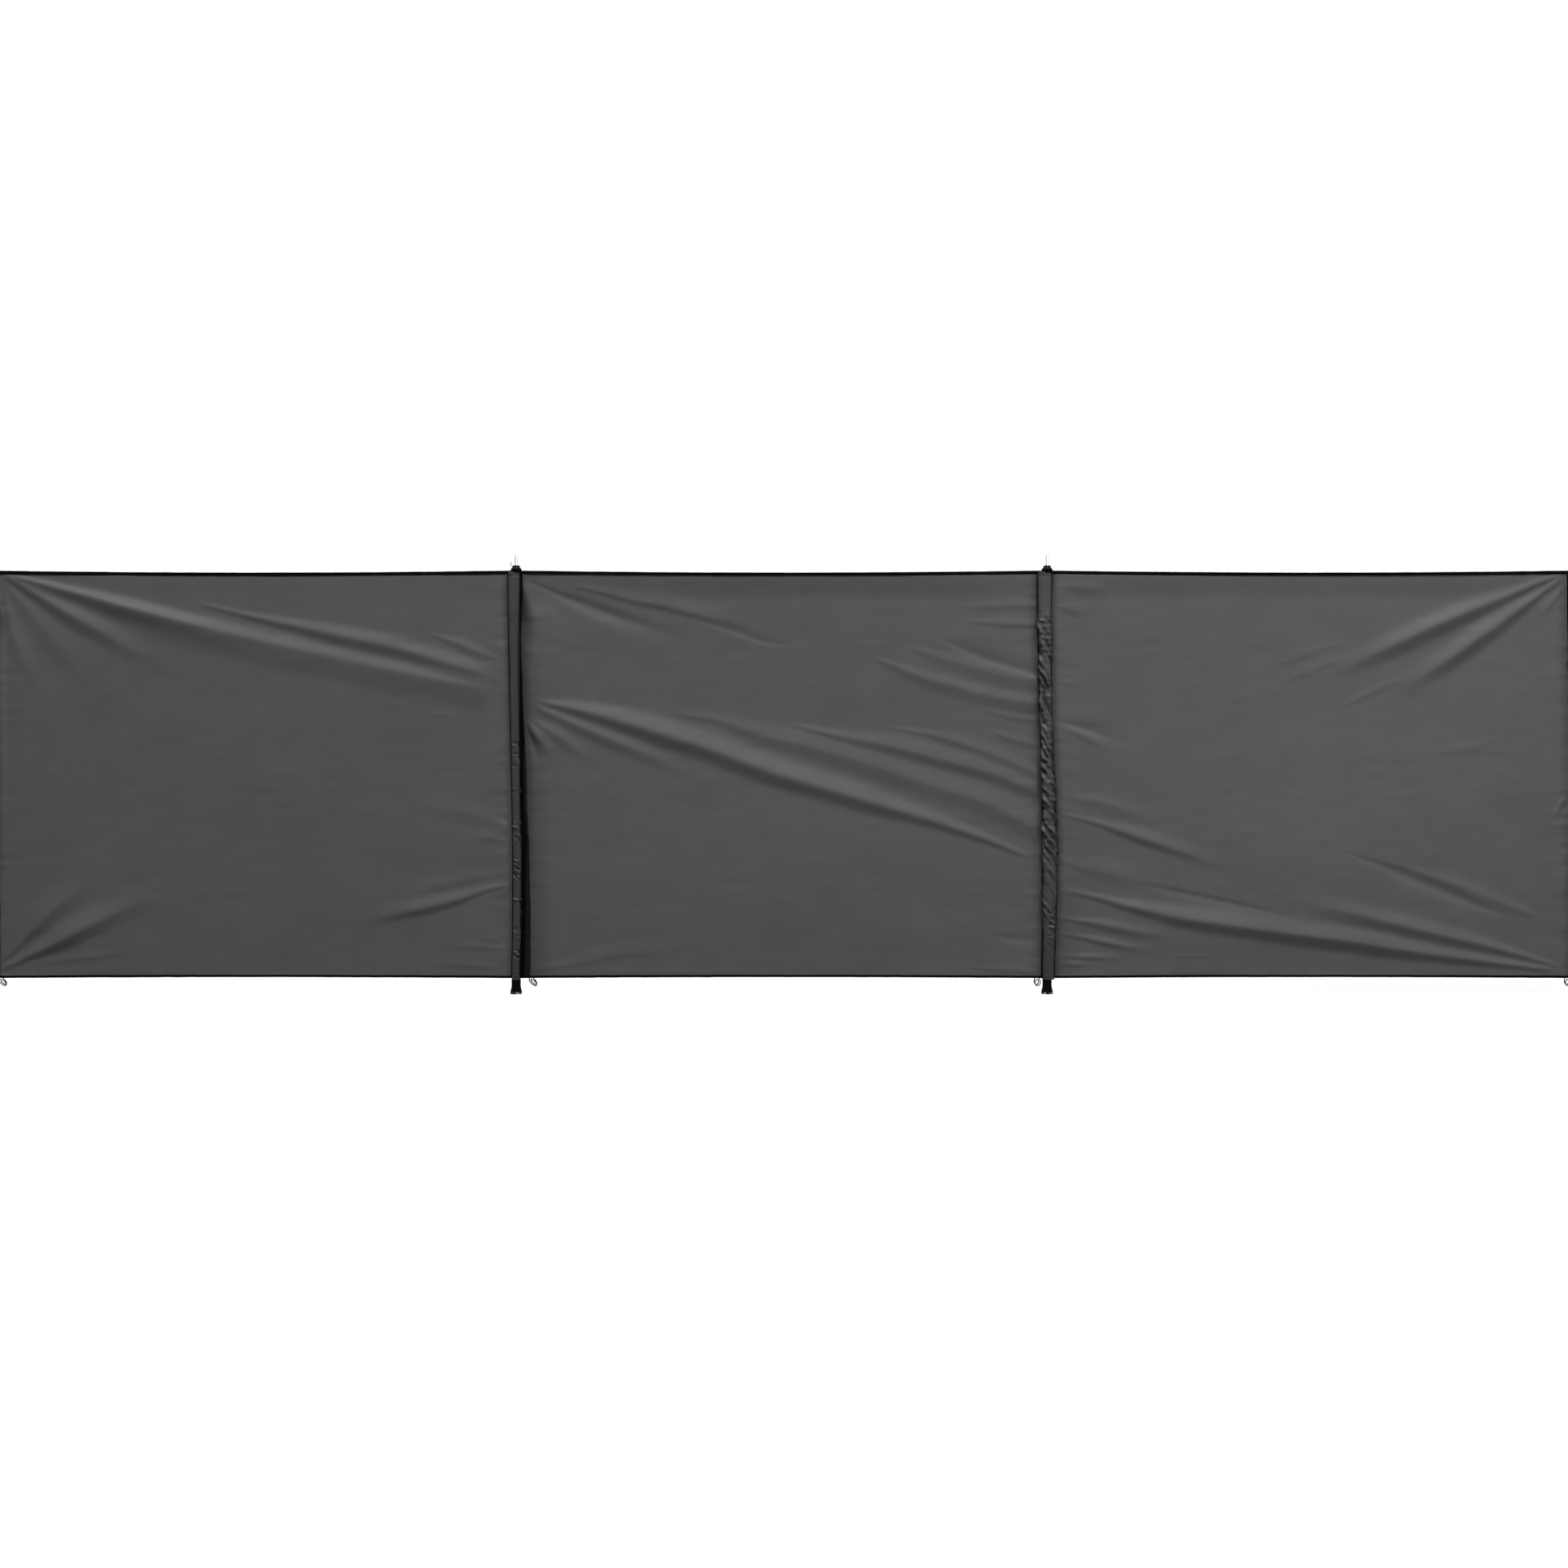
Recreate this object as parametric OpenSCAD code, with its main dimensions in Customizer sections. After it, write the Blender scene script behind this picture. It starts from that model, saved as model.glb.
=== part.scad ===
// Beach windbreak: fabric bays carried on steel poles that stand in sewn sleeves.
// Units are millimetres. +Z is up, +X runs along the windbreak and -Y is its front.
// The origin is on the ground, under the middle of the second pole's foot.

/* [Bays] */
// Distance between neighbouring poles
bay_pitch = 1560; // [1000:20:2200]
// Height of the fabric, from its lower edge to its upper edge
fabric_h = 1200; // [900:20:1500]
// Height of the fabric's lower edge above the ground
hem_lift = 46; // [44:1:60]
// Thickness of the fabric panels
fabric_t = 2; // [1:0.5:3]
// How far the upper edge sags between two poles
top_sag = 6; // [0:1:12]
// How far the lower edge lifts between two poles
bottom_lift = 3; // [0:1:8]

/* [Edge tape] */
// Width of the tape that binds the upper and lower edges
hem_w = 10; // [6:1:16]
// Thickness of one layer of the tape
tape_t = 1; // [0.6:0.2:1.4]
// Width of the seam tape beside a sleeve, at its top
seam_tape_top_w = 4; // [3:1:12]
// Width of the seam tape beside a sleeve on the left half, at its bottom
left_seam_tape_w = 22; // [8:1:24]
// Width of the seam tape beside a sleeve on the right half, at its bottom
right_seam_tape_w = 5; // [4:1:24]

/* [Poles] */
// Outer diameter of the steel pole
pole_d = 19; // [16:1:22]
// Wall thickness of the steel pole
pole_wall = 1; // [0.6:0.2:1.6]
// Diameter of the pin on top of the pole
pin_d = 9; // [6:1:10]
// Length of the pin above its shoulder
pin_h = 30; // [15:1:45]

/* [Sleeves] */
// Width of the sleeve between its two seams
sleeve_w = 38; // [34:1:48]
// Thickness of the sleeve in front of the pole
sleeve_t = 2; // [1:0.5:3]

/* [Feet] */
// Diameter of the foot's neck
foot_neck_d = 27; // [26:1:30]
// Diameter of the foot's base
foot_base_d = 34; // [32:1:40]
// Thickness of the sole under the pole
sole_t = 6; // [4:1:10]
// Number of notches round the base
notch_count = 12; // [6:1:16]

/* [Peg loops] */
// Diameter of the elastic cord
cord_d = 3; // [2:0.2:3.2]
// Angle at which a loop on the left half hangs away from its pole
left_loop_tilt = 28; // [0:2:40]
// Angle at which a loop on the right half hangs towards its pole
right_loop_tilt = 8; // [0:2:10]

/* [Hidden] */
$fn = 64;
bays = 3;
pole_count = bays + 1;
fixed_bay = 2; // the bay that stays put while the others fold about its poles

// The layers from front to back, as places along Y. The poles stand at Y = 0.
pole_gap = 0.5;
bore_r = pole_d / 2 + pole_gap;
fabric_front = pole_d / 2 + 0.1;
fabric_back = fabric_front + fabric_t;

// Heights
fabric_top = hem_lift + fabric_h;
sleeve_overhang = 3; // how far a sleeve reaches below the fabric's lower edge
sleeve_bottom = hem_lift - sleeve_overhang;
sleeve_top = fabric_top - 5;
tube_top = fabric_top + 4;

// Places along X
fold_gap = 12; // fabric left free to bend between a folding bay and its sleeve
sleeve_inset = sleeve_w / 2;
fold_inset = sleeve_inset + fold_gap;
edge_steps = 12; // straight stretches in a sagging edge

// Top plug, pin and cap
plug_flange_t = 4;
plug_flange_d = pole_d + 2;
plug_h = 26;
shank_d = 8;
collar_d = 12;
collar_h = 6;
cap_clearance = 0.2; // between the cap's hole and the eyelet
cap_wall = 1.5;
cap_h = 17.4;
cap_top_t = 3;
cap_top = sleeve_top + cap_h;
eyelet_t = 0.8;
eyelet_d = 20;
barrel_wall = 0.7;
eyelet_bore_r = collar_d / 2 + 0.3;
pin_chamfer = 1;

// Peg loops, which are sewn further from the pole on the left half than on the right half.
// A route's points are [across, back, down] from a place on the lower edge.
left_loop_inset = 42;
right_loop_inset = 28;
ring_sides = 8;
steps_per_point = 2;
loop_route = [
    [-5, -0.5, 0], [-5, -1, 2.5], [-7, -2, 6.5], [-7, -2, 12], [-4, -2, 18],
    [1, -2, 21.5], [5.5, -2, 21], [8.5, -2, 16.5], [8, -2, 10], [4.5, -1.5, 5],
    [0, 0.3, 3], [-2.5, 1.8, 6], [-2, 2, 11], [0.5, 2, 16], [4.5, 2, 18.5],
    [8.5, 2, 16.5], [10.5, 2, 11.5], [10, 2, 6.5], [8.5, 1.2, 2.8], [8, 0.5, 0]
];

// Place of pole i along X
function pole_x(i) = (i - 2) * bay_pitch;

// Whether pole i is on the left half, so that its inner side faces +X
function on_left(i) = i <= fixed_bay;

// A point k of edge_steps along bay j, and its share of the way between the poles
function bay_left(j) = pole_x(j) + (j > fixed_bay ? fold_inset : sleeve_inset);
function bay_right(j) = pole_x(j + 1) - (j < fixed_bay ? fold_inset : sleeve_inset);
function bay_x(j, k) = bay_left(j) + (bay_right(j) - bay_left(j)) * k / edge_steps;
function share(j, x) = (x - pole_x(j)) / bay_pitch;
function curve(j, x) = 4 * share(j, x) * (1 - share(j, x));
function upper_z(j, x) = fabric_top - top_sag * curve(j, x);
function lower_z(j, x) = hem_lift + bottom_lift * curve(j, x);

// A band of bay j between two heights above its lower and upper edges
module band(j, from_lower, to_lower, from_upper, to_upper, extra = 0) {
    xs = [for (k = [0:edge_steps]) bay_x(j, k) + (k == 0 ? -extra : k == edge_steps ? extra : 0)];
    low = is_undef(from_lower)
        ? [for (x = xs) [x, upper_z(j, x) + from_upper]]
        : [for (x = xs) [x, lower_z(j, x) + from_lower]];
    high = is_undef(to_lower)
        ? [for (k = [edge_steps:-1:0]) [xs[k], upper_z(j, xs[k]) + to_upper]]
        : [for (k = [edge_steps:-1:0]) [xs[k], lower_z(j, xs[k]) + to_lower]];
    polygon(concat(low, high));
}

// Stands a flat outline upright, from y_front to y_back
module upright(y_front, y_back) {
    rotate([90, 0, 0])
        translate([0, 0, -y_back])
            linear_extrude(y_back - y_front)
                children();
}

// One bay's fabric, whose edges lie inside the two hems
module panel(j, extra = 0) {
    color("dimgray")
        upright(fabric_front, fabric_back)
            band(j, tape_t, undef, undef, -tape_t, extra);
}

// Tape folded over the upper edge
module top_hem(j) {
    color("black")
        difference() {
            upright(fabric_front - tape_t, fabric_back + tape_t)
                band(j, undef, undef, -hem_w, 0);
            panel(j, extra = 1);
        }
}

// Tape folded over the lower edge
module bottom_hem(j) {
    color("black")
        difference() {
            upright(fabric_front - tape_t, fabric_back + tape_t)
                band(j, 0, hem_w, undef, undef);
            panel(j, extra = 1);
        }
}

// Steel tube that stands in the foot and carries the plug
module pole() {
    color("silver")
        translate([0, 0, sole_t])
            difference() {
                cylinder(d = pole_d, h = tube_top - sole_t);
                translate([0, 0, -1])
                    cylinder(d = pole_d - 2 * pole_wall, h = tube_top - sole_t + 2);
            }
}

// Plastic plug in the end of the tube, with a flange on its rim
module top_plug() {
    color([0.08, 0.08, 0.08])
        difference() {
            union() {
                translate([0, 0, tube_top - plug_h])
                    cylinder(d = pole_d - 2 * pole_wall, h = plug_h);
                translate([0, 0, tube_top])
                    cylinder(d = plug_flange_d, h = plug_flange_t);
            }
            translate([0, 0, tube_top - plug_h + 4])
                cylinder(d = shank_d, h = plug_h + plug_flange_t);
        }
}

// Turned steel pin: a shank in the plug, a collar in the eyelet and the pin above its shoulder
module top_pin() {
    shank_bottom = tube_top - plug_h + 4;
    collar_bottom = tube_top + plug_flange_t;
    shoulder = collar_bottom + collar_h;
    color("gainsboro") {
        translate([0, 0, shank_bottom])
            cylinder(d = shank_d, h = collar_bottom - shank_bottom);
        translate([0, 0, collar_bottom])
            cylinder(d = collar_d, h = collar_h);
        translate([0, 0, shoulder])
            cylinder(d = pin_d, h = pin_h - pin_chamfer);
        translate([0, 0, shoulder + pin_h - pin_chamfer])
            cylinder(d1 = pin_d, d2 = pin_d - 2 * pin_chamfer, h = pin_chamfer);
    }
}

// Flat oval slice of the cap, a sixteenth of a millimetre thick
module cap_slice(z, half_x, half_y) {
    translate([0, 0, z])
        scale([half_x, half_y, 1])
            cylinder(r = 1, h = 1 / 16, $fn = 32);
}

// Tape cap that closes the sleeve over the pole's end
module top_cap() {
    cavity_r = plug_flange_d / 2 + pole_gap;
    half_y = cavity_r + cap_wall;
    color("black")
        difference() {
            hull() {
                cap_slice(sleeve_top, sleeve_w / 2 - 1, half_y);
                cap_slice(sleeve_top + cap_h * 0.55, sleeve_w / 2 - 3, half_y);
                cap_slice(cap_top - 1 / 16, cavity_r, cavity_r);
            }
            translate([0, 0, sleeve_top - 1])
                cylinder(r = cavity_r, h = cap_h - cap_top_t + 1);
            cylinder(r = eyelet_bore_r + barrel_wall + cap_clearance, h = cap_top + 1);
        }
}

// Metal eyelet in the cap, round the pin's collar
module eyelet() {
    color("lightgray")
        difference() {
            union() {
                translate([0, 0, cap_top])
                    cylinder(d = eyelet_d, h = eyelet_t);
                translate([0, 0, cap_top - cap_top_t])
                    cylinder(r = eyelet_bore_r + barrel_wall, h = cap_top_t);
            }
            translate([0, 0, cap_top - cap_top_t - 1])
                cylinder(r = eyelet_bore_r, h = cap_top_t + eyelet_t + 2);
        }
}

// Flared rubber foot with a notched rim
module foot() {
    rim_h = 6;
    flare_top = 24;
    flare_points = 6;
    notch_w = 3.2;
    notch_h = 4;
    notch_depth = 3;
    neck_r = foot_neck_d / 2;
    base_r = foot_base_d / 2;
    flare = [for (k = [0:flare_points])
        [neck_r + (base_r - neck_r) * (1 + cos(180 * k / flare_points)) / 2,
         rim_h + (flare_top - rim_h) * k / flare_points]];
    color([0.05, 0.05, 0.05])
        difference() {
            rotate_extrude()
                polygon(concat([[0, 0], [base_r, 0]], flare, [[neck_r, sleeve_bottom], [0, sleeve_bottom]]));
            translate([0, 0, sole_t])
                cylinder(d = pole_d, h = sleeve_bottom);
            for (k = [0:notch_count - 1])
                rotate([0, 0, (k + 0.5) * 360 / notch_count])
                    translate([base_r - notch_depth, -notch_w / 2, -1])
                        cube([notch_depth + 1, notch_w, notch_h + 1]);
        }
}

// Sleeve round the pole: flat against the panels behind, drawn over the pole in front
module sleeve() {
    half_w = sleeve_w / 2;
    front_r = bore_r + sleeve_t;
    edge_y = fabric_front - tape_t;
    tangent = atan2(edge_y, half_w) - acos(front_r / norm([half_w, edge_y]));
    arc_steps = 16;
    arc = [for (k = [0:arc_steps])
        let (a = -180 - tangent + k * (180 + 2 * tangent) / arc_steps)
        front_r * [cos(a), sin(a)]];
    color("dimgray")
        translate([0, 0, sleeve_bottom])
            linear_extrude(sleeve_top - sleeve_bottom)
                difference() {
                    polygon(concat([[-half_w, fabric_back], [-half_w, edge_y]], arc,
                                   [[half_w, edge_y], [half_w, fabric_back]]));
                    circle(r = bore_r);
                }
}

// Tape on the seam beside the sleeve, with its own width at the bottom
module seam_tape(bottom_w) {
    clear = 1; // gap that keeps it off the curved edges of the hems
    low = hem_lift + hem_w + clear;
    high = fabric_top - hem_w - clear;
    color("black")
        upright(fabric_front - tape_t, fabric_front)
            polygon([
                [sleeve_inset, low], [sleeve_inset + bottom_w, low],
                [sleeve_inset + seam_tape_top_w, high], [sleeve_inset, high]
            ]);
}

// A point on the smooth curve through the route, t of the way from point k to the next
function route_at(k) = loop_route[max(0, min(len(loop_route) - 1, k))];
function smooth_point(k, t) =
    let (a = route_at(k - 1), b = route_at(k), c = route_at(k + 1), d = route_at(k + 2))
    0.5 * (2 * b + (c - a) * t + (2 * a - 5 * b + 4 * c - d) * t * t
           + (3 * b - a - 3 * c + d) * t * t * t);
function unit(v) = v / norm(v);

// Elastic cord that leaves the lower hem, goes round twice and comes back to it
module peg_loop(inset, tilt) {
    last = len(loop_route) - 1;
    line = [for (k = [0:last - 1], s = [0:steps_per_point - 1]) smooth_point(k, s / steps_per_point)];
    path = concat(line, [loop_route[last]]);
    n = len(path);
    function heading(k) = k == 0 || k == n - 1
        ? [0, 0, k == 0 ? 1 : -1]
        : unit(path[k + 1] - path[k - 1]);
    points = [for (k = [0:n - 1])
        let (t = heading(k), u = unit([0, 1, 0] - t[1] * t), v = cross(t, u))
        for (s = [0:ring_sides - 1])
            path[k] + cord_d / 2 * (cos(360 * s / ring_sides) * u + sin(360 * s / ring_sides) * v)];
    sides = [for (k = [0:n - 2], s = [0:ring_sides - 1])
        let (a = k * ring_sides + s, b = k * ring_sides + (s + 1) % ring_sides)
        [a, b, b + ring_sides, a + ring_sides]];
    caps = [
        [for (s = [ring_sides - 1:-1:0]) s],
        [for (s = [0:ring_sides - 1]) (n - 1) * ring_sides + s]
    ];
    color([0.1, 0.1, 0.1])
        translate([inset, (fabric_front + fabric_back) / 2, lower_z(fixed_bay, inset)])
            multmatrix([[1, 0, tan(tilt), 0], [0, 1, 0, 0], [0, 0, -1, 0]])
                polyhedron(points, concat(sides, caps));
}

// Puts a part at pole i
module at_pole(i) {
    translate([pole_x(i), 0, 0])
        children();
}

// Puts a part at pole i, with its +X side towards the windbreak's middle
module inward(i) {
    at_pole(i)
        mirror([on_left(i) ? 0 : 1, 0, 0])
            children();
}

for (i = [1:pole_count]) {
    at_pole(i) pole();
    at_pole(i) top_plug();
    at_pole(i) top_pin();
    at_pole(i) top_cap();
    at_pole(i) eyelet();
    at_pole(i) foot();
    at_pole(i) sleeve();
    inward(i)
            seam_tape(on_left(i) ? left_seam_tape_w : right_seam_tape_w);
    inward(i)
            peg_loop(on_left(i) ? left_loop_inset : right_loop_inset,
                     on_left(i) ? left_loop_tilt : -right_loop_tilt);
}
for (j = [1:bays]) {
    panel(j);
    top_hem(j);
    bottom_hem(j);
}
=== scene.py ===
"""Looks of the beach windbreak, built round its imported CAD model.

Everything is in metres and in the model's own frame: +X along the windbreak, -Y the front, +Z up.
"""

import math
from typing import NamedTuple

import bpy
import numpy as np
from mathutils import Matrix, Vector


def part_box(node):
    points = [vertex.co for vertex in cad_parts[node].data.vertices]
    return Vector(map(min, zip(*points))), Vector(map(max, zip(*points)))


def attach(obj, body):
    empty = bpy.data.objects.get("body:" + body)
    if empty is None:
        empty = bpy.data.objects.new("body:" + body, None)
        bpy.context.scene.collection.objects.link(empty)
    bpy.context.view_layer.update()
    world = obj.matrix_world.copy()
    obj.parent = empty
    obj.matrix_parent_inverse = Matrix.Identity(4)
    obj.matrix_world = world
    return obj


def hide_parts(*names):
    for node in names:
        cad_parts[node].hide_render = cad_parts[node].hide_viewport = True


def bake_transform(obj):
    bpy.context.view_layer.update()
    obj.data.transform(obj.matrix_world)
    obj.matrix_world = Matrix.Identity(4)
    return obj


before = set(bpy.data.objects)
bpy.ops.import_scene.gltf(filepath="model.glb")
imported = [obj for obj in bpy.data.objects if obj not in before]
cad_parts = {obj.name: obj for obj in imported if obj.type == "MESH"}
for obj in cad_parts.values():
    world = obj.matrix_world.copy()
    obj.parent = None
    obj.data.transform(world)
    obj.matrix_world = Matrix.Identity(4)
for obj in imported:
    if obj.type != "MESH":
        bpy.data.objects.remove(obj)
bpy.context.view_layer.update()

# ---------------------------------------------------------------------------
# Sizes that the CAD model gives
# ---------------------------------------------------------------------------

POLES = (1, 2, 3, 4)
BAYS = (1, 2, 3)
FIXED_BAY = 2


def centre_x(node):
    low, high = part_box(node)
    return (low.x + high.x) / 2


POLE_X = {i: centre_x(f"pole_{i}") for i in POLES}
PITCH = POLE_X[3] - POLE_X[2]
SLEEVE_LOW, SLEEVE_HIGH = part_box("sleeve_2")
SEAM_INSET = SLEEVE_HIGH.x - POLE_X[2]
SHEET_Y = sum(p.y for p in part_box("panel_2")) / 2
TOP_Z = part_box("top_hem_2")[1].z
BOTTOM_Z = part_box("bottom_hem_2")[0].z
FABRIC_H = TOP_Z - BOTTOM_Z
FOLD_INSET = POLE_X[2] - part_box("panel_1")[1].x
TOP_HEM_H = 0.010
BOTTOM_HEM_H = 0.007
TOP_SAG = 0.006
BOTTOM_LIFT = 0.003
HINGE_HEIGHT = (TOP_Z + BOTTOM_Z) / 2


def pole_body(i):
    return {1: "left_bay", 2: "centre_bay", 3: "centre_bay", 4: "right_bay"}[i]


def bay_body(j):
    return {1: "left_bay", 2: "centre_bay", 3: "right_bay"}[j]


def inward(i):
    """+1 where the windbreak's middle lies towards +X of pole i, else -1."""
    return 1 if i <= FIXED_BAY else -1


# ---------------------------------------------------------------------------
# Camera
# ---------------------------------------------------------------------------

IMAGE_PX = 1932
METRES_PER_PX = 0.002385
CAMERA_DISTANCE = 10.0
CAMERA_X = 0.787
CAMERA_Z = 0.6175

camera_data = bpy.data.cameras.new("camera")
camera_data.sensor_width = 36
camera_data.lens = 36 * CAMERA_DISTANCE / (IMAGE_PX * METRES_PER_PX)
camera_data.clip_end = 200
camera = bpy.data.objects.new("camera", camera_data)
camera.location = (CAMERA_X, -CAMERA_DISTANCE, CAMERA_Z)
camera.rotation_euler = (math.radians(90), 0, 0)
bpy.context.scene.collection.objects.link(camera)
bpy.context.scene.camera = camera

# ---------------------------------------------------------------------------
# Small numeric helpers
# ---------------------------------------------------------------------------


def smoothstep(low, high, value):
    t = np.clip((value - low) / (high - low), 0, 1)
    return t * t * (3 - 2 * t)


def noise(u, v, seed):
    """Smooth noise from -1 to 1 with one hill or hollow to each unit of u and v."""
    lattice = np.random.default_rng(seed).uniform(-1, 1, (64, 64))
    iu, iv = np.floor(u).astype(int), np.floor(v).astype(int)
    fu, fv = smoothstep(0, 1, u - iu), smoothstep(0, 1, v - iv)
    a, b = lattice[iu % 64, iv % 64], lattice[(iu + 1) % 64, iv % 64]
    c, d = lattice[iu % 64, (iv + 1) % 64], lattice[(iu + 1) % 64, (iv + 1) % 64]
    return (a * (1 - fu) + b * fu) * (1 - fv) + (c * (1 - fu) + d * fu) * fv


def facets(u, v, seed):
    """Flat triangles that meet at sharp creases, with ridges and hollows that take turns along u, from
    -1 to 1."""
    lattice = np.random.default_rng(seed).uniform(-0.5, 1, (64, 64))
    lattice[::2] *= -1
    iu, iv = np.floor(u).astype(int), np.floor(v).astype(int)
    fu, fv = u - iu, v - iv
    a, b = lattice[iu % 64, iv % 64], lattice[(iu + 1) % 64, iv % 64]
    c, d = lattice[iu % 64, (iv + 1) % 64], lattice[(iu + 1) % 64, (iv + 1) % 64]
    near_half = a + (b - a) * fu + (c - a) * fv
    far_half = d + (c - d) * (1 - fu) + (b - d) * (1 - fv)
    return np.where(fu + fv < 1, near_half, far_half)


def at_height(levels, z):
    """The columns of a list of (height, value, ...) levels, each read at the heights z."""
    table = np.array(levels)
    return [np.interp(z, table[:, 0], column) for column in table[:, 1:].T]


def smooth_path(points, steps=10):
    """Points along the smooth curve through the given ones."""
    p = np.array(points, float)
    p = np.vstack([2 * p[0] - p[1], p, 2 * p[-1] - p[-2]])
    curve = []
    for k in range(1, len(p) - 2):
        a, b, c, d = p[k - 1:k + 3]
        for t in np.arange(steps) / steps:
            curve.append(0.5 * (2 * b + (c - a) * t + (2 * a - 5 * b + 4 * c - d) * t * t
                                + (3 * b - a - 3 * c + d) * t ** 3))
    curve.append(p[-2])
    return np.array(curve)


def path_frame(path, u, v):
    """Signed distance of each (u, v) from a path, above it positive, and its share of the way along."""
    best = np.full(u.shape, 1e9)
    side = np.zeros(u.shape)
    share = np.zeros(u.shape)
    for k, (a, b) in enumerate(zip(path[:-1], path[1:])):
        step = b - a
        t = np.clip(((u - a[0]) * step[0] + (v - a[1]) * step[1]) / (step @ step), 0, 1)
        du, dv = u - a[0] - t * step[0], v - a[1] - t * step[1]
        distance = np.hypot(du, dv)
        near = distance < best
        best = np.where(near, distance, best)
        side = np.where(near, np.sign(du * step[1] - dv * step[0]), side)
        share = np.where(near, (k + t) / (len(path) - 1), share)
    return best * side, share


# ---------------------------------------------------------------------------
# Mesh helpers
# ---------------------------------------------------------------------------


def add_mesh(name, points, faces, material):
    mesh = bpy.data.meshes.new(name)
    face_list = faces if isinstance(faces, list) else faces.tolist()
    mesh.from_pydata(np.asarray(points, float).tolist(), [], face_list)
    mesh.polygons.foreach_set("use_smooth", [True] * len(mesh.polygons))
    mesh.materials.append(material)
    piece = bpy.data.objects.new(name, mesh)
    bpy.context.scene.collection.objects.link(piece)
    return piece


def grid_faces(rows, columns, closed=False):
    """Quads of a grid whose points are listed row by row; closed joins its last column to its first."""
    r, c = np.meshgrid(np.arange(rows - 1), np.arange(columns if closed else columns - 1), indexing="ij")
    c2 = (c + 1) % columns
    return np.stack([r * columns + c, r * columns + c2, (r + 1) * columns + c2, (r + 1) * columns + c],
                    -1).reshape(-1, 4)


def tube(points, radius, sides):
    """Points and faces of a round tube along a line of points."""
    p = np.array(points, float)
    heading = np.gradient(p, axis=0)
    heading /= np.linalg.norm(heading, axis=1)[:, None]
    side = np.cross(heading[0], (0.3, 0.9, 0.2))
    rings = []
    for centre, t in zip(p, heading):
        side = side - (side @ t) * t
        side /= np.linalg.norm(side)
        other = np.cross(t, side)
        angles = 2 * math.pi * np.arange(sides) / sides
        rings.append(centre + radius * (np.cos(angles)[:, None] * side + np.sin(angles)[:, None] * other))
    faces = grid_faces(len(p), sides, closed=True).tolist()
    faces.append(list(range(sides))[::-1])
    faces.append([(len(p) - 1) * sides + k for k in range(sides)])
    return np.concatenate(rings), faces


def joined(parts):
    """One list of points and one of faces from several."""
    points, faces, offset = [], [], 0
    for part_points, part_faces in parts:
        points.append(np.asarray(part_points, float))
        faces += [[v + offset for v in face] for face in part_faces]
        offset += len(part_points)
    return np.concatenate(points), faces


# ---------------------------------------------------------------------------
# Materials
# ---------------------------------------------------------------------------


# Name of the mesh attribute that paints shade into a cloth's colour, from 0 to 1: mostly where it is tucked
# in or creased, and on the sleeves more towards the bottom
SHADE = "shade"
DEEPEST_SHADE = (0.001, 0.001, 0.001)
# Metres from band to band of Blender's wave texture at a scale of 1
WAVE_LENGTH = 0.314


def set_shade(piece, amounts):
    piece.data.attributes.new(SHADE, "FLOAT", "POINT").data.foreach_set("value", np.ravel(amounts))


def new_material(name):
    """A new material, its node tree and its shader."""
    material = bpy.data.materials.new(name)
    material.use_nodes = True
    return material, material.node_tree, material.node_tree.nodes["Principled BSDF"]


def object_place(tree):
    return tree.nodes.new("ShaderNodeTexCoord").outputs["Object"]


def noise_node(tree, place, scale, detail):
    node = tree.nodes.new("ShaderNodeTexNoise")
    node.inputs["Scale"].default_value = scale
    node.inputs["Detail"].default_value = detail
    tree.links.new(place, node.inputs["Vector"])
    return node.outputs["Fac"]


def math_node(tree, operation, *terms):
    """The result of a sum whose terms are sockets or plain numbers."""
    node = tree.nodes.new("ShaderNodeMath")
    node.operation = operation
    for socket, term in zip(node.inputs, terms):
        if isinstance(term, float):
            socket.default_value = term
        else:
            tree.links.new(term, socket)
    return node.outputs[0]


def range_node(tree, value, start, end, low=0, high=1):
    """A value that runs from start to end, made to run from low to high."""
    node = tree.nodes.new("ShaderNodeMapRange")
    for name, number in (("From Min", start), ("From Max", end), ("To Min", low), ("To Max", high)):
        node.inputs[name].default_value = number
    tree.links.new(value, node.inputs["Value"])
    return node.outputs["Result"]


def covered(tree, under, over, amount):
    """The colour under, a socket or three numbers, covered by the colour over in the given amount."""
    node = tree.nodes.new("ShaderNodeMix")
    node.data_type = "RGBA"
    if isinstance(under, tuple):
        node.inputs["A"].default_value = (*under, 1)
    else:
        tree.links.new(under, node.inputs["A"])
    node.inputs["B"].default_value = (*over, 1)
    tree.links.new(amount, node.inputs["Factor"])
    return node.outputs["Result"]


def add_bump(tree, shader, height, strength, distance):
    node = tree.nodes.new("ShaderNodeBump")
    node.inputs["Strength"].default_value = strength
    node.inputs["Distance"].default_value = distance
    tree.links.new(height, node.inputs["Height"])
    tree.links.new(node.outputs["Normal"], shader.inputs["Normal"])


def yarns(tree, place, axis, weave_size):
    """One of the two crossed sets of yarns."""
    node = tree.nodes.new("ShaderNodeTexWave")
    node.wave_type = "BANDS"
    node.bands_direction = axis
    node.inputs["Scale"].default_value = WAVE_LENGTH / weave_size
    node.inputs["Distortion"].default_value = 0.6
    node.inputs["Detail"].default_value = 1
    node.inputs["Detail Scale"].default_value = 2
    tree.links.new(place, node.inputs["Vector"])
    return node.outputs["Fac"]


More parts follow.
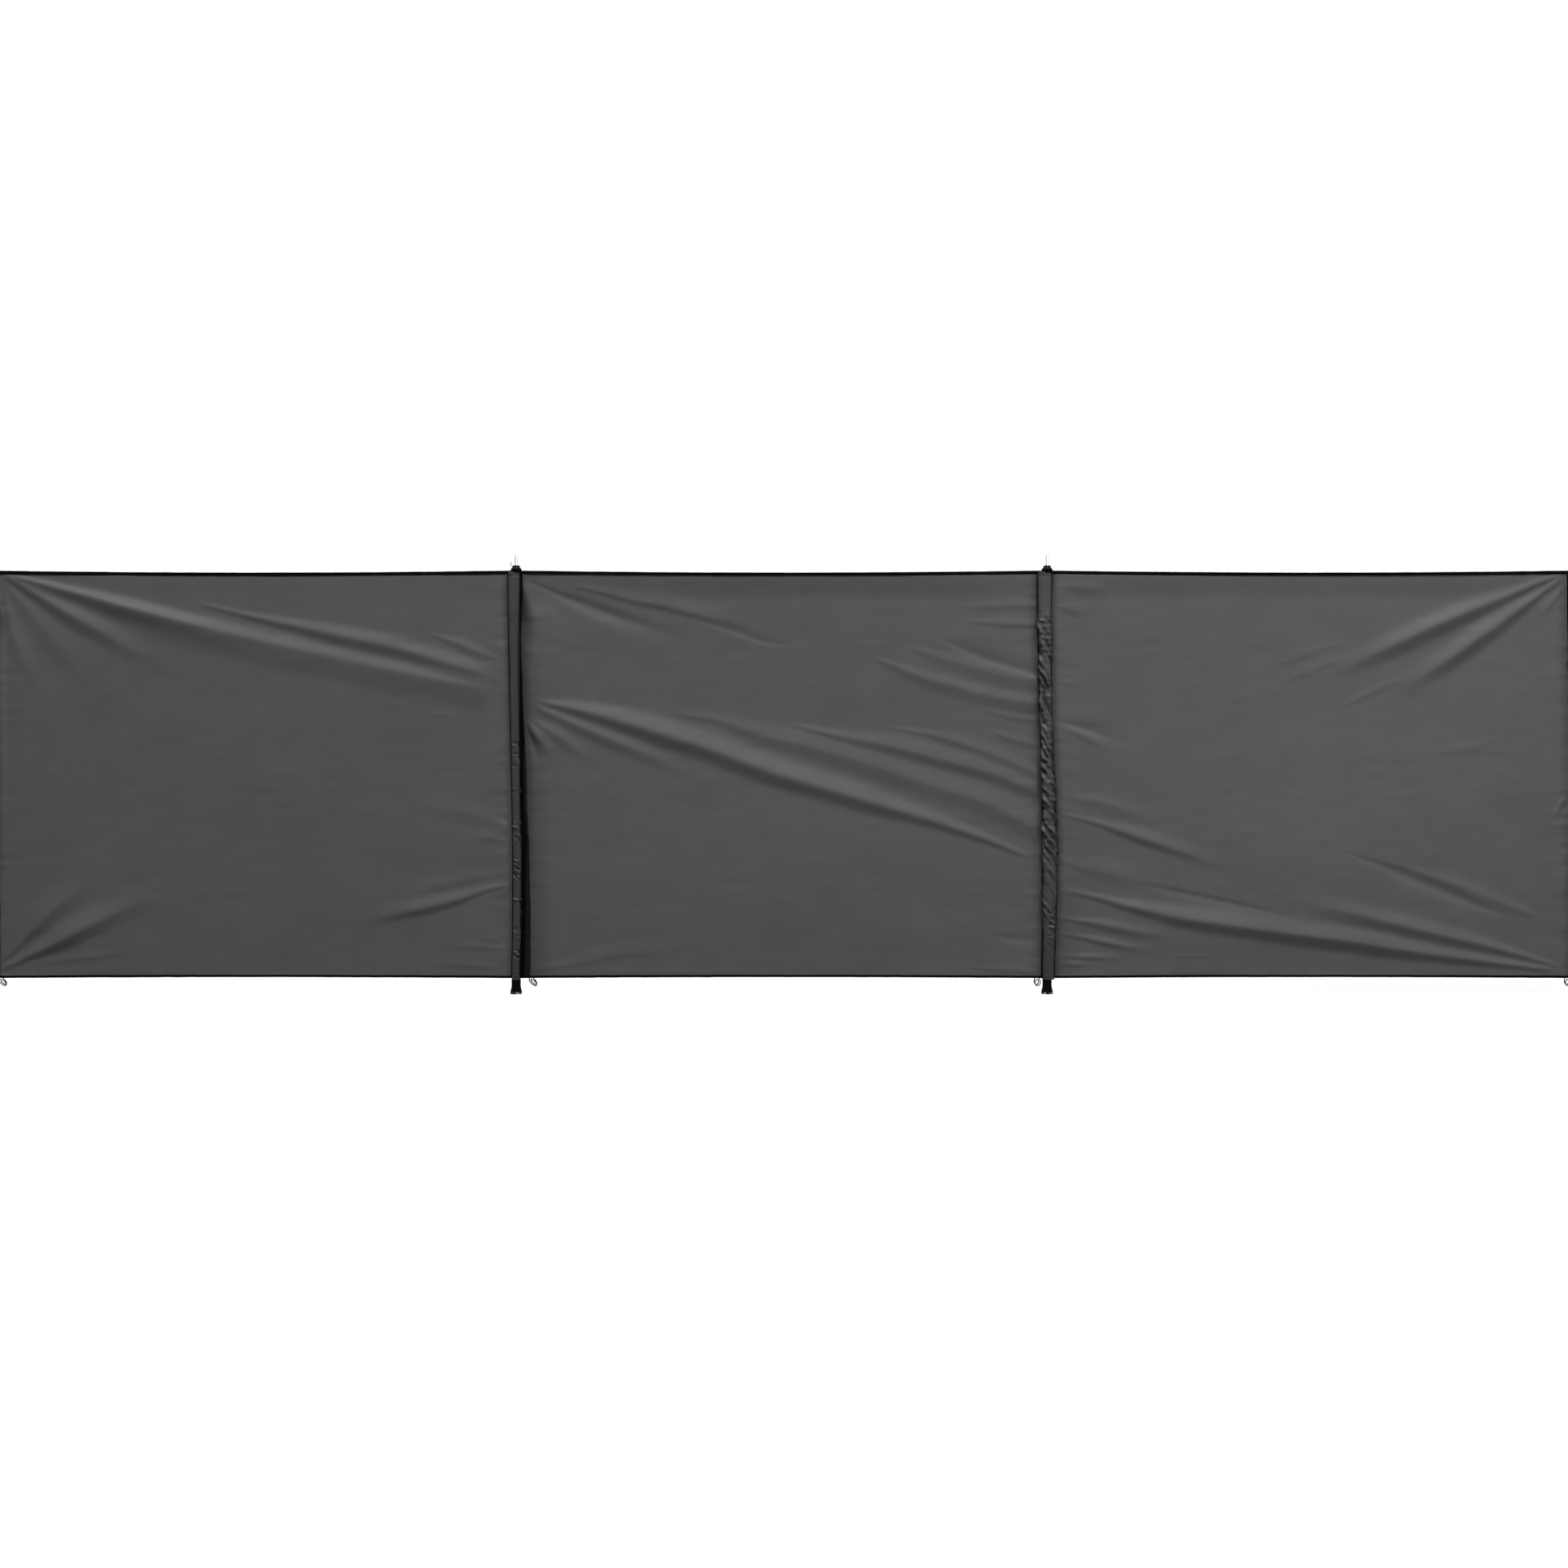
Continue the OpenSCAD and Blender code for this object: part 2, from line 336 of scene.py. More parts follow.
def cloth_material(name, colour, vary, weave_size, roughness, gloss, bump):
    """Woven cloth: two crossed sets of yarns, a faint cloudiness and a fine grain."""
    material, tree, shader = new_material(name)
    shader.inputs["Roughness"].default_value = roughness
    shader.inputs["Specular IOR Level"].default_value = gloss
    place = object_place(tree)
    clouds = noise_node(tree, place, 7, 3)
    grain = noise_node(tree, place, 420, 2)
    mixed = math_node(tree, "MULTIPLY_ADD", clouds, 0.5, math_node(tree, "MULTIPLY", grain, 0.5))
    tint = tree.nodes.new("ShaderNodeValToRGB")
    for stop, position, level in zip(tint.color_ramp.elements, (0.35, 0.65), (1 - vary, 1 + vary)):
        stop.position = position
        stop.color = (*[c * level for c in colour], 1)
    tree.links.new(mixed, tint.inputs["Fac"])
    # Painted shade: the shade attribute darkens the woven colour towards DEEPEST_SHADE
    shade = tree.nodes.new("ShaderNodeAttribute")
    shade.attribute_name = SHADE
    shaded = covered(tree, tint.outputs["Color"], DEEPEST_SHADE, shade.outputs["Fac"])
    tree.links.new(shaded, shader.inputs["Base Color"])
    weave = math_node(tree, "MAXIMUM", *[yarns(tree, place, axis, weave_size) for axis in ("X", "Z")])
    add_bump(tree, shader, math_node(tree, "MULTIPLY_ADD", weave, 0.6, grain), bump, 0.0004)
    return material


def metal_material(name, colour, roughness, streak):
    """Plated metal with fine turning or drawing marks and a slightly uneven gloss."""
    material, tree, shader = new_material(name)
    shader.inputs["Base Color"].default_value = (*colour, 1)
    shader.inputs["Metallic"].default_value = 1
    stretch = tree.nodes.new("ShaderNodeMapping")
    stretch.inputs["Scale"].default_value = streak
    tree.links.new(object_place(tree), stretch.inputs["Vector"])
    marks = noise_node(tree, stretch.outputs["Vector"], 90, 5)
    gloss = range_node(tree, marks, 0.3, 0.7, roughness * 0.75, roughness * 1.35)
    tree.links.new(gloss, shader.inputs["Roughness"])
    add_bump(tree, shader, marks, 0.15, 0.0002)
    return material


def rubber_material(name, colour, dust, dust_top):
    """Moulded rubber or plastic, with patches of dust that thin out from the ground up to dust_top."""
    material, tree, shader = new_material(name)
    shader.inputs["Roughness"].default_value = 0.75
    shader.inputs["Specular IOR Level"].default_value = 0.03
    place = object_place(tree)
    split = tree.nodes.new("ShaderNodeSeparateXYZ")
    tree.links.new(place, split.inputs["Vector"])
    low = range_node(tree, split.outputs["Z"], dust_top, 0)
    patch = range_node(tree, noise_node(tree, place, 160, 4), 0.50, 0.60)
    dusty = covered(tree, colour, dust, math_node(tree, "MULTIPLY", low, patch))
    tree.links.new(dusty, shader.inputs["Base Color"])
    add_bump(tree, shader, noise_node(tree, place, 600, 3), 0.35, 0.0003)
    return material


CLOTH_GREY = (0.064, 0.064, 0.0655)
TAPE_BLACK = (0.0020, 0.0020, 0.0023)
SAND = (0.66, 0.64, 0.60)

cloth = cloth_material("woven_polyester", CLOTH_GREY, 0.06, 0.0006, 0.42, 0.12, 0.30)
sleeve_cloth = cloth_material("sleeve_polyester", (0.043, 0.043, 0.044), 0.08, 0.0006, 0.38, 0.16, 0.35)
# The cloth's edge at each crown; its pale colour is a painted highlight along that edge
edge_cloth_with_highlight = cloth_material("cloth_edge_painted_highlight", (0.14, 0.14, 0.14), 0.1, 0.0006, 0.6, 0.1, 0.3)
tape = cloth_material("binding_tape", TAPE_BLACK, 0.25, 0.0011, 0.75, 0.01, 0.6)
seam_cloth = cloth_material("seam_tape", (0.0070, 0.0070, 0.0074), 0.3, 0.0012, 0.7, 0.02, 0.6)
cord_cloth = cloth_material("elastic_cord", (0.0022, 0.0022, 0.0024), 0.2, 0.0008, 0.8, 0.01, 0.5)
zinc = metal_material("turned_zinc", (0.64, 0.64, 0.65), 0.24, (1, 1, 6))
steel = metal_material("drawn_tube", (0.60, 0.60, 0.61), 0.33, (6, 6, 0.3))
black_nickel = metal_material("blackened_eyelet", (0.05, 0.05, 0.052), 0.35, (1, 1, 1))
rubber = rubber_material("foot_rubber", (0.0012, 0.0012, 0.0012), SAND, 0.008)
plastic = rubber_material("plug_plastic", (0.010, 0.010, 0.010), (0.03, 0.03, 0.03), 0.001)

HARD_PARTS = (("pole", steel), ("top_pin", zinc), ("eyelet", black_nickel), ("foot", rubber),
              ("top_plug", plastic))
for part, material in HARD_PARTS:
    for i in POLES:
        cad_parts[f"{part}_{i}"].material_slots[0].material = material

# ---------------------------------------------------------------------------
# Peg loops: elastic cords that leave the lower edge, go round twice and return to it
# ---------------------------------------------------------------------------

CORD_D = 0.003
# How far inward of its pole each loop is sewn, in metres, and how far it tilts, in degrees
LOOP_INSET = {1: 0.042, 2: 0.042, 3: 0.028, 4: 0.028}
LOOP_TILT = {1: 28, 2: 28, 3: -8, 4: -8}
# The cord's course before it is tilted: (inward, back, down) in millimetres
LOOP_ROUTE = (
    (-5, -0.5, 0), (-5, -1, 2.5), (-7, -2, 6.5), (-7, -2, 12), (-4, -2, 18),
    (1, -2, 21.5), (5.5, -2, 21), (8.5, -2, 16.5), (8, -2, 10), (4.5, -1.5, 5),
    (0, 0.3, 3), (-2.5, 1.8, 6), (-2, 2, 11), (0.5, 2, 16), (4.5, 2, 18.5),
    (8.5, 2, 16.5), (10.5, 2, 11.5), (10, 2, 6.5), (8.5, 1.2, 2.8), (8, 0.5, 0),
)


def make_peg_loop(i):
    node = f"peg_loop_{i}"
    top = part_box(node)[1].z
    route = np.array(LOOP_ROUTE) / 1000
    across = LOOP_INSET[i] + route[:, 0] + route[:, 2] * math.tan(math.radians(LOOP_TILT[i]))
    points = np.stack([POLE_X[i] + inward(i) * across, SHEET_Y + route[:, 1], top - route[:, 2]], 1)
    line = smooth_path(points, 8)
    piece = add_mesh(f"elastic_{node}", *tube(line, CORD_D / 2, 12), cord_cloth)
    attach(piece, pole_body(i))
    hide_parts(node)


for i in POLES:
    make_peg_loop(i)

# ---------------------------------------------------------------------------
# Courses of the sleeves and their tapes, which the sheets meet
# ---------------------------------------------------------------------------

# Edges of a sleeve's front: (height, left edge, right edge) in metres, across from its pole.
# The sleeves are loose on their poles and wander to one side and the other.
SLEEVE_EDGES = {
    "left_half": (
        (0.042, -0.0140, 0.0110), (0.14, -0.0113, 0.0135), (0.27, -0.0100, 0.0155), (0.42, -0.0104, 0.0167),
        (0.55, -0.0120, 0.0130), (0.70, -0.0155, 0.0105), (0.85, -0.0190, 0.0075), (1.00, -0.0215, 0.0055),
        (1.13, -0.0240, 0.0085), (1.24, -0.0250, 0.0125),
    ),
    "right_half": (
        (0.042, -0.0145, 0.0215), (0.18, -0.0125, 0.0245), (0.30, -0.0122, 0.0290), (0.46, -0.0124, 0.0275),
        (0.56, -0.0130, 0.0250), (0.66, -0.0140, 0.0210), (0.75, -0.0170, 0.0165), (0.85, -0.0210, 0.0125),
        (1.04, -0.0240, 0.0125), (1.14, -0.0270, 0.0130), (1.24, -0.0280, 0.0150),
    ),
}
# The black strip beside each sleeve, partly seam tape and partly painted shadow of the gap beside the
# sleeve: (height, left edge, right edge)
TAPE_AND_GAP_SHADOW = {
    "left_half": (
        (0.050, 0.0105, 0.0225), (0.14, 0.0125, 0.0260), (0.27, 0.0145, 0.0275), (0.38, 0.0155, 0.0275),
        (0.45, 0.0155, 0.0315), (0.55, 0.0120, 0.0235), (0.66, 0.0100, 0.0205), (0.76, 0.0075, 0.0230),
        (0.85, 0.0070, 0.0195), (0.95, 0.0060, 0.0160), (1.05, 0.0060, 0.0130), (1.13, 0.0080, 0.0150),
        (1.18, 0.0105, 0.0190), (1.24, 0.0120, 0.0165),
    ),
    "right_half": (
        (0.050, -0.0175, -0.0120), (0.18, -0.0150, -0.0110), (0.46, -0.0150, -0.0110),
        (0.66, -0.0168, -0.0120), (0.85, -0.0236, -0.0180), (1.14, -0.0296, -0.0240),
        (1.24, -0.0300, -0.0260),
    ),
}
# The second, greyer tape outside the black one of poles 1 and 2, in the same form
GREY_TAPE = (
    (0.050, 0.0200, 0.0405), (0.14, 0.0240, 0.0415), (0.25, 0.0260, 0.0410), (0.35, 0.0260, 0.0390),
    (0.45, 0.0290, 0.0370), (0.55, 0.0220, 0.0310), (0.65, 0.0190, 0.0300), (0.75, 0.0180, 0.0245),
    (0.80, 0.0170, 0.0220),
)


def half_of(i):
    return "left_half" if i <= FIXED_BAY else "right_half"


def seam_line(i, z, side):
    """Where the sheet comes out from under the sleeve and its tapes on one side of pole i."""
    left, right = at_height(SLEEVE_EDGES[half_of(i)], z)
    if side < 0:
        return left - 0.002
    if half_of(i) == "right_half":
        return right + 0.002
    dark_end = at_height(TAPE_AND_GAP_SHADOW["left_half"], z)[1]
    grey_end = at_height(GREY_TAPE, z)[1]
    return np.where(z < 0.78, np.maximum(dark_end, grey_end), dark_end)


# ---------------------------------------------------------------------------
# Fabric bays: one sheet each, with its drag folds
# ---------------------------------------------------------------------------

TUCK = 0.009
COLUMN_STEP = 0.0048
HINGE_COLUMN_STEP = 0.0015
ROW_STEP = 0.0048


class Fold(NamedTuple):
    """A fold of the sheet. Its upper side, above its crest, catches the light."""

    height: float  # of its crest over the sheet in metres, negative in a hollow
    above: float  # width of its upper side in metres, where it is widest
    below: float  # width of its lower side
    path: tuple  # from its root: (across from the bay's left pole, down from the upper edge)
    fades_from: float = 0.5  # share of the way along at which it starts to die out
    pinned: bool = False  # narrows to a point at both ends


FOLDS = {
    1: (
        # A fan from the upper outer corner
        Fold(0.0130, 0.035, 0.032, (
            (0.045, 0.012), (0.092, 0.037), (0.166, 0.082), (0.247, 0.131), (0.329, 0.175), (0.410, 0.224),
            (0.500, 0.265), (0.600, 0.315)), 0.35),
        Fold(0.0110, 0.033, 0.055, (
            (0.060, 0.012), (0.166, 0.041), (0.329, 0.086), (0.492, 0.131), (0.680, 0.180), (0.900, 0.231),
            (1.145, 0.286), (1.430, 0.343), (1.500, 0.356)), 0.85),
        Fold(0.0080, 0.030, 0.032, (
            (0.060, 0.012), (0.166, 0.041), (0.329, 0.086), (0.492, 0.131), (0.680, 0.180),
            (0.800, 0.210)), 0.45),
        Fold(0.0105, 0.032, 0.028, (
            (0.614, 0.094), (0.778, 0.135), (0.941, 0.171), (1.063, 0.198), (1.186, 0.224), (1.267, 0.246),
            (1.390, 0.283), (1.520, 0.321)), 0.90),
        Fold(0.0045, 0.020, 0.018, (
            (1.300, 0.186), (1.390, 0.216), (1.455, 0.245), (1.510, 0.259)), 0.9, True),
        Fold(0.0065, 0.050, 0.040, (
            (0.055, 0.045), (0.117, 0.110), (0.166, 0.167), (0.223, 0.232), (0.288, 0.298),
            (0.360, 0.345)), 0.40),
        Fold(0.0045, 0.030, 0.024, (
            (0.050, 0.050), (0.072, 0.151), (0.100, 0.241), (0.141, 0.322), (0.180, 0.380)), 0.40),
        Fold(-0.0030, 0.032, 0.014, ((0.050, 0.080), (0.060, 0.300), (0.063, 0.600), (0.058, 0.900)), 0.60),
        # A fan from the lower outer corner
        Fold(0.0180, 0.045, 0.030, (
            (0.045, 1.175), (0.125, 1.135), (0.190, 1.104), (0.247, 1.075), (0.312, 1.042), (0.386, 1.006),
            (0.468, 0.969), (0.550, 0.938)), 0.40),
        Fold(0.0130, 0.045, 0.030, (
            (0.045, 1.155), (0.108, 1.087), (0.157, 1.038), (0.206, 0.989), (0.264, 0.949),
            (0.330, 0.900)), 0.40),
        Fold(0.0022, 0.020, 0.012, ((0.120, 1.165), (0.247, 1.144), (0.370, 1.128), (0.550, 1.097))),
        # Folds that end at the inner sleeve
        Fold(0.0085, 0.030, 0.018, (
            (1.545, 0.922), (1.471, 0.940), (1.390, 0.967), (1.308, 0.989), (1.226, 1.006), (1.145, 1.024),
            (1.050, 1.048))),
        Fold(0.0025, 0.030, 0.020, ((1.545, 0.892), (1.430, 0.904), (1.308, 0.932), (1.180, 0.962))),
        Fold(0.0030, 0.020, 0.014, ((1.545, 0.798), (1.471, 0.785), (1.390, 0.769)), 0.30),
        Fold(0.0030, 0.030, 0.030, ((1.545, 0.761), (1.471, 0.728), (1.349, 0.700), (1.226, 0.679)), 0.40),
        Fold(0.0022, 0.014, 0.010, ((1.545, 1.112), (1.450, 1.108), (1.350, 1.104)), 0.40),
        Fold(0.0014, 0.010, 0.010, ((1.545, 1.088), (1.490, 1.085), (1.430, 1.083)), 0.40),
        Fold(0.0018, 0.010, 0.008, ((1.545, 1.175), (1.430, 1.162), (1.267, 1.153))),
        Fold(0.0010, 0.009, 0.008, ((1.280, 0.424), (1.340, 0.425), (1.400, 0.424)), 0.9, True),
        Fold(0.0008, 0.008, 0.008, ((1.230, 0.379), (1.280, 0.380), (1.330, 0.380)), 0.9, True),
    ),
    2: (
        # The long fold, and those beside its root
        Fold(0.0165, 0.046, 0.034, (
            (0.060, 0.385), (0.116, 0.397), (0.173, 0.409), (0.295, 0.442), (0.418, 0.479), (0.581, 0.532),
            (0.744, 0.593), (0.907, 0.642), (1.070, 0.691), (1.234, 0.740), (1.397, 0.797),
            (1.525, 0.852)), 0.95, True),
        Fold(0.0080, 0.026, 0.024, (
            (0.050, 0.395), (0.083, 0.414), (0.173, 0.454), (0.279, 0.499), (0.360, 0.532), (0.467, 0.577),
            (0.620, 0.630)), 0.45),
        Fold(0.0060, 0.022, 0.022, (
            (0.034, 0.430), (0.083, 0.463), (0.132, 0.495), (0.189, 0.536), (0.254, 0.573)), 0.40),
        Fold(0.0085, 0.026, 0.014, ((0.026, 0.438), (0.054, 0.478), (0.086, 0.520), (0.115, 0.560)), 0.40),
        Fold(-0.0070, 0.010, 0.014, ((0.028, 0.452), (0.042, 0.492), (0.058, 0.536), (0.072, 0.575)), 0.45),
        # Above it, spreading towards the right
        Fold(0.0075, 0.045, 0.034, (
            (0.450, 0.420), (0.581, 0.438), (0.703, 0.479), (0.866, 0.520), (1.070, 0.581), (1.234, 0.638),
            (1.397, 0.691), (1.540, 0.768)), 1.0),
        Fold(0.0085, 0.038, 0.024, (
            (0.800, 0.452), (0.948, 0.487), (1.111, 0.520), (1.234, 0.552), (1.397, 0.597),
            (1.540, 0.655)), 1.0),
        Fold(0.0050, 0.025, 0.018, (
            (1.080, 0.460), (1.217, 0.483), (1.315, 0.511), (1.438, 0.556), (1.540, 0.602)), 1.0),
        Fold(0.0026, 0.015, 0.012, ((1.380, 0.466), (1.462, 0.498), (1.540, 0.515)), 1.0),
        Fold(0.0022, 0.014, 0.010, ((1.360, 0.405), (1.454, 0.431), (1.540, 0.441)), 1.0),
        Fold(0.0040, 0.024, 0.030, (
            (1.150, 0.220), (1.193, 0.237), (1.274, 0.264), (1.356, 0.288), (1.438, 0.308),
            (1.540, 0.324)), 1.0),
        Fold(-0.0030, 0.020, 0.015, (
            (1.240, 0.200), (1.282, 0.216), (1.356, 0.249), (1.438, 0.277), (1.540, 0.306)), 1.0),
        Fold(0.0062, 0.026, 0.028, (
            (1.050, 0.258), (1.103, 0.277), (1.193, 0.314), (1.274, 0.337), (1.356, 0.361), (1.438, 0.379),
            (1.540, 0.395)), 1.0),
        Fold(0.0025, 0.020, 0.014, ((1.300, 0.107), (1.420, 0.104), (1.540, 0.102)), 1.0),
        Fold(0.0032, 0.018, 0.010, ((1.310, 0.151), (1.438, 0.157), (1.540, 0.161)), 1.0),
        # From the upper left corner
        Fold(-0.0070, 0.020, 0.028, (
            (0.030, 0.028), (0.107, 0.063), (0.173, 0.090), (0.238, 0.114), (0.303, 0.139), (0.377, 0.163),
            (0.450, 0.188), (0.530, 0.212)), 0.45),
        Fold(0.0052, 0.035, 0.014, (
            (0.150, 0.043), (0.238, 0.061), (0.336, 0.086), (0.418, 0.100), (0.532, 0.128), (0.646, 0.153),
            (0.760, 0.192)), 0.60),
        Fold(-0.0026, 0.015, 0.012, (
            (0.520, 0.143), (0.646, 0.180), (0.728, 0.208), (0.820, 0.222)), 0.9, True),
        # Beside the left sleeve, and at the foot of the bay
        Fold(0.0085, 0.080, 0.036, (
            (0.022, 0.030), (0.040, 0.100), (0.054, 0.180), (0.054, 0.300), (0.046, 0.440)), 0.35),
        Fold(0.0030, 0.030, 0.015, ((0.040, 1.178), (0.200, 1.150), (0.330, 1.125), (0.600, 1.110))),
        Fold(-0.0022, 0.014, 0.014, ((1.380, 1.072), (1.470, 1.085), (1.540, 1.092)), 1.0),
        Fold(0.0020, 0.015, 0.010, ((1.280, 1.163), (1.450, 1.175), (1.540, 1.181)), 1.0),
    ),
    3: (
        # A fan from the upper outer corner
        Fold(0.0150, 0.035, 0.032, (
            (1.530, 0.006), (1.449, 0.035), (1.368, 0.069), (1.286, 0.102), (1.205, 0.135), (1.123, 0.171),
            (1.041, 0.210), (0.960, 0.247), (0.878, 0.286), (0.780, 0.338)), 0.60),
        Fold(0.0140, 0.035, 0.030, (
            (1.526, 0.014), (1.458, 0.065), (1.400, 0.106), (1.335, 0.153), (1.270, 0.198), (1.205, 0.245),
            (1.139, 0.288), (1.074, 0.330), (0.985, 0.383)), 0.60),
        Fold(0.0035, 0.016, 0.012, ((1.530, 0.040), (1.498, 0.078), (1.466, 0.118), (1.425, 0.160)), 0.30),
        Fold(0.0018, 0.020, 0.016, ((0.660, 0.283), (0.764, 0.245), (0.880, 0.208)), 0.9, True),
        Fold(0.0020, 0.018, 0.014, ((0.680, 0.333), (0.797, 0.286), (0.880, 0.253)), 0.9, True),
        Fold(0.0018, 0.016, 0.012, ((0.850, 0.410), (0.960, 0.355), (1.060, 0.314)), 0.9, True),
        # The long fold across the foot of the bay
        Fold(0.0150, 0.038, 0.028, (
            (0.025, 0.935), (0.144, 0.962), (0.226, 0.984), (0.307, 1.003), (0.389, 1.021), (0.552, 1.046),
            (0.674, 1.062), (0.797, 1.079), (0.919, 1.095), (1.041, 1.115), (1.164, 1.133), (1.286, 1.150),
            (1.409, 1.166), (1.515, 1.180)), 0.95, True),
        Fold(0.0125, 0.030, 0.028, (
            (1.515, 1.168), (1.409, 1.136), (1.286, 1.102), (1.164, 1.074), (1.041, 1.044), (0.919, 1.015),
            (0.797, 0.987), (0.690, 0.958))),
        Fold(-0.0030, 0.010, 0.016, (
            (0.250, 0.919), (0.372, 0.943), (0.552, 0.981), (0.730, 1.020)), 0.9, True),
        # Folds that start at the inner sleeve
        Fold(0.0042, 0.025, 0.026, (
            (0.030, 0.658), (0.103, 0.672), (0.185, 0.689), (0.266, 0.717), (0.370, 0.752)), 0.40),
        Fold(0.0090, 0.028, 0.018, (
            (0.030, 0.714), (0.144, 0.743), (0.226, 0.769), (0.307, 0.797), (0.389, 0.824), (0.470, 0.852),
            (0.600, 0.892)), 0.45),
        Fold(0.0050, 0.040, 0.030, ((0.030, 0.856), (0.144, 0.881), (0.258, 0.907), (0.420, 0.935)), 0.40),
        Fold(0.0065, 0.018, 0.018, ((0.028, 1.022), (0.144, 1.038), (0.266, 1.062), (0.400, 1.082)), 0.50),
        Fold(0.0055, 0.014, 0.012, ((0.028, 1.066), (0.128, 1.084), (0.226, 1.105), (0.330, 1.120)), 0.50),
        Fold(0.0035, 0.010, 0.008, ((0.028, 1.132), (0.128, 1.138), (0.240, 1.137)), 0.50),
        Fold(0.0030, 0.009, 0.007, ((0.028, 1.157), (0.080, 1.159), (0.150, 1.161)), 0.50),
        Fold(0.0012, 0.006, 0.006, ((0.360, 1.133), (0.430, 1.135), (0.510, 1.136)), 0.9, True),
        Fold(-0.0042, 0.025, 0.014, ((0.028, 0.444), (0.103, 0.463), (0.168, 0.485), (0.270, 0.510)), 0.40),
        Fold(0.0026, 0.018, 0.012, ((0.028, 0.459), (0.087, 0.479), (0.144, 0.506), (0.200, 0.534)), 0.50),
        Fold(0.0016, 0.010, 0.008, ((0.028, 0.328), (0.060, 0.330), (0.110, 0.333)), 0.50),
        Fold(0.0034, 0.020, 0.018, ((0.028, 0.045), (0.103, 0.049), (0.200, 0.060)), 0.50),
        Fold(0.0030, 0.020, 0.018, ((0.028, 0.106), (0.070, 0.112), (0.135, 0.128)), 0.50),
        # Faint ones in its middle and by its outer sleeve
        Fold(-0.0048, 0.020, 0.022, (
            (0.860, 0.825), (0.960, 0.860), (1.041, 0.893), (1.123, 0.927), (1.205, 0.960), (1.286, 0.993),
            (1.390, 1.035)), 0.8, True),
        Fold(0.0042, 0.022, 0.020, (
            (0.980, 0.850), (1.123, 0.897), (1.205, 0.925), (1.302, 0.965), (1.409, 1.007),
            (1.480, 1.033)), 0.8, True),
        Fold(0.0035, 0.012, 0.010, ((1.535, 0.655), (1.507, 0.697), (1.488, 0.740)), 0.40),
        Fold(0.0014, 0.020, 0.014, ((1.120, 0.536), (1.229, 0.526), (1.340, 0.494)), 0.9, True),
    ),
}

ROOT_WIDTH = 0.25
CREST_ROUNDING = 0.16
FOOT_ROUNDING = 0.14


def fold_height(fold, across, down):
    """Height of one fold over the sheet. It widens from its root and dies out at its far end."""
    path = smooth_path(fold.path, 6)
    margin = 1.8 * max(fold.above, fold.below)
    height = np.zeros(across.shape)
    low, high = path.min(0) - margin, path.max(0) + margin
    near = (across > low[0]) & (across < high[0]) & (down > low[1]) & (down < high[1])
    distance, share = path_frame(path, across[near], down[near])
    if path[-1][0] < path[0][0]:
        distance = -distance
    spread = ROOT_WIDTH + (1 - ROOT_WIDTH) * smoothstep(0, 0.5, share)
    if fold.pinned:
        spread = ROOT_WIDTH + (1 - ROOT_WIDTH) * smoothstep(0, 0.4, share) * smoothstep(0, 0.4, 1 - share)
    q = distance / (np.where(distance > 0, fold.above, fold.below) * spread)
    slope = np.sqrt(q * q + CREST_ROUNDING ** 2) - CREST_ROUNDING
    crest = FOOT_ROUNDING * np.logaddexp(0, (1 - slope) / FOOT_ROUNDING)
    fade = smoothstep(-0.02, 0.08, share) * (1 - smoothstep(fold.fades_from, 1.0001, share))
    height[near] = fold.height * spread * crest * fade
    return height


def edge_lift(across):
    """How far the upper edge sags, and the lower edge lifts, at a place across the bay."""
    curve = 4 * across / PITCH * (1 - across / PITCH)
    return -TOP_SAG * curve, BOTTOM_LIFT * curve


# How far each bay leans back below its upper edge, and bellies out above its lower edge, in metres
LEAN_AND_BELLY = {1: (0.002, 0.003), 2: (0.0115, 0.004), 3: (0.009, 0.010)}


def sheet_relief(j, across, down):
    """How far the sheet stands out to the front at each place, in metres."""
    relief = np.zeros(across.shape)
    for fold in FOLDS[j]:
        relief += fold_height(fold, across, down)
    lean, belly = LEAN_AND_BELLY[j]
    middle = np.clip(4 * across / PITCH * (1 - across / PITCH), 0, 1)
    relief -= lean * np.sqrt(middle) * smoothstep(0, 0.09, down) * (1 - smoothstep(0.2, 0.9, down))
    relief += belly * middle * smoothstep(0.3, 0.95, down) * (1 - smoothstep(1.0, 1.22, down))
    relief += 0.0030 * noise(across / 0.42, down / 0.30, 10 + j)
    relief += 0.0010 * noise(across / 0.17, down / 0.09, 20 + j)
    relief += 0.0004 * noise(across / 0.06 + down / 0.2, down / 0.022, 30 + j)
    to_seam = np.minimum(across - SEAM_INSET, PITCH - SEAM_INSET - across)
    pucker = np.exp(-np.clip(to_seam, 0, 1) / 0.035)
    relief += 0.0022 * pucker * noise(across / 0.09 + 7, down / 0.017, 40 + j)
    to_edge = np.minimum(down, FABRIC_H - down)
    relief += 0.0007 * np.exp(-np.clip(to_edge, 0, 1) / 0.03) * noise(across / 0.02, down / 0.06, 50 + j)
    hold = smoothstep(-0.002, 0.016, to_seam) * smoothstep(0.001, 0.016, to_edge)
    return relief * hold


# How much darker each bay is beside its left and its right sleeve: (height, amount there, reach in metres).
# It stands for light lost where the cloth turns in at the sleeve. The amounts were matched to the
# photograph's greys and stay the same in any light.
LEFT_SHADE = {
    "left_half": (
        (0.05, 0.18, 0.014), (0.27, 0.10, 0.012), (0.46, 0.30, 0.022), (0.65, 0.45, 0.026),
        (0.85, 0.52, 0.032), (0.95, 0.50, 0.034), (1.04, 0.50, 0.044), (1.08, 0.58, 0.064),
        (1.10, 0.82, 0.056), (1.13, 0.97, 0.040), (1.155, 0.95, 0.026), (1.175, 0.75, 0.014),
        (1.20, 0.40, 0.008), (1.24, 0.30, 0.014),
    ),
    "right_half": ((0.05, 0.30, 0.020), (0.40, 0.40, 0.026), (0.90, 0.42, 0.030), (1.24, 0.30, 0.020)),
}
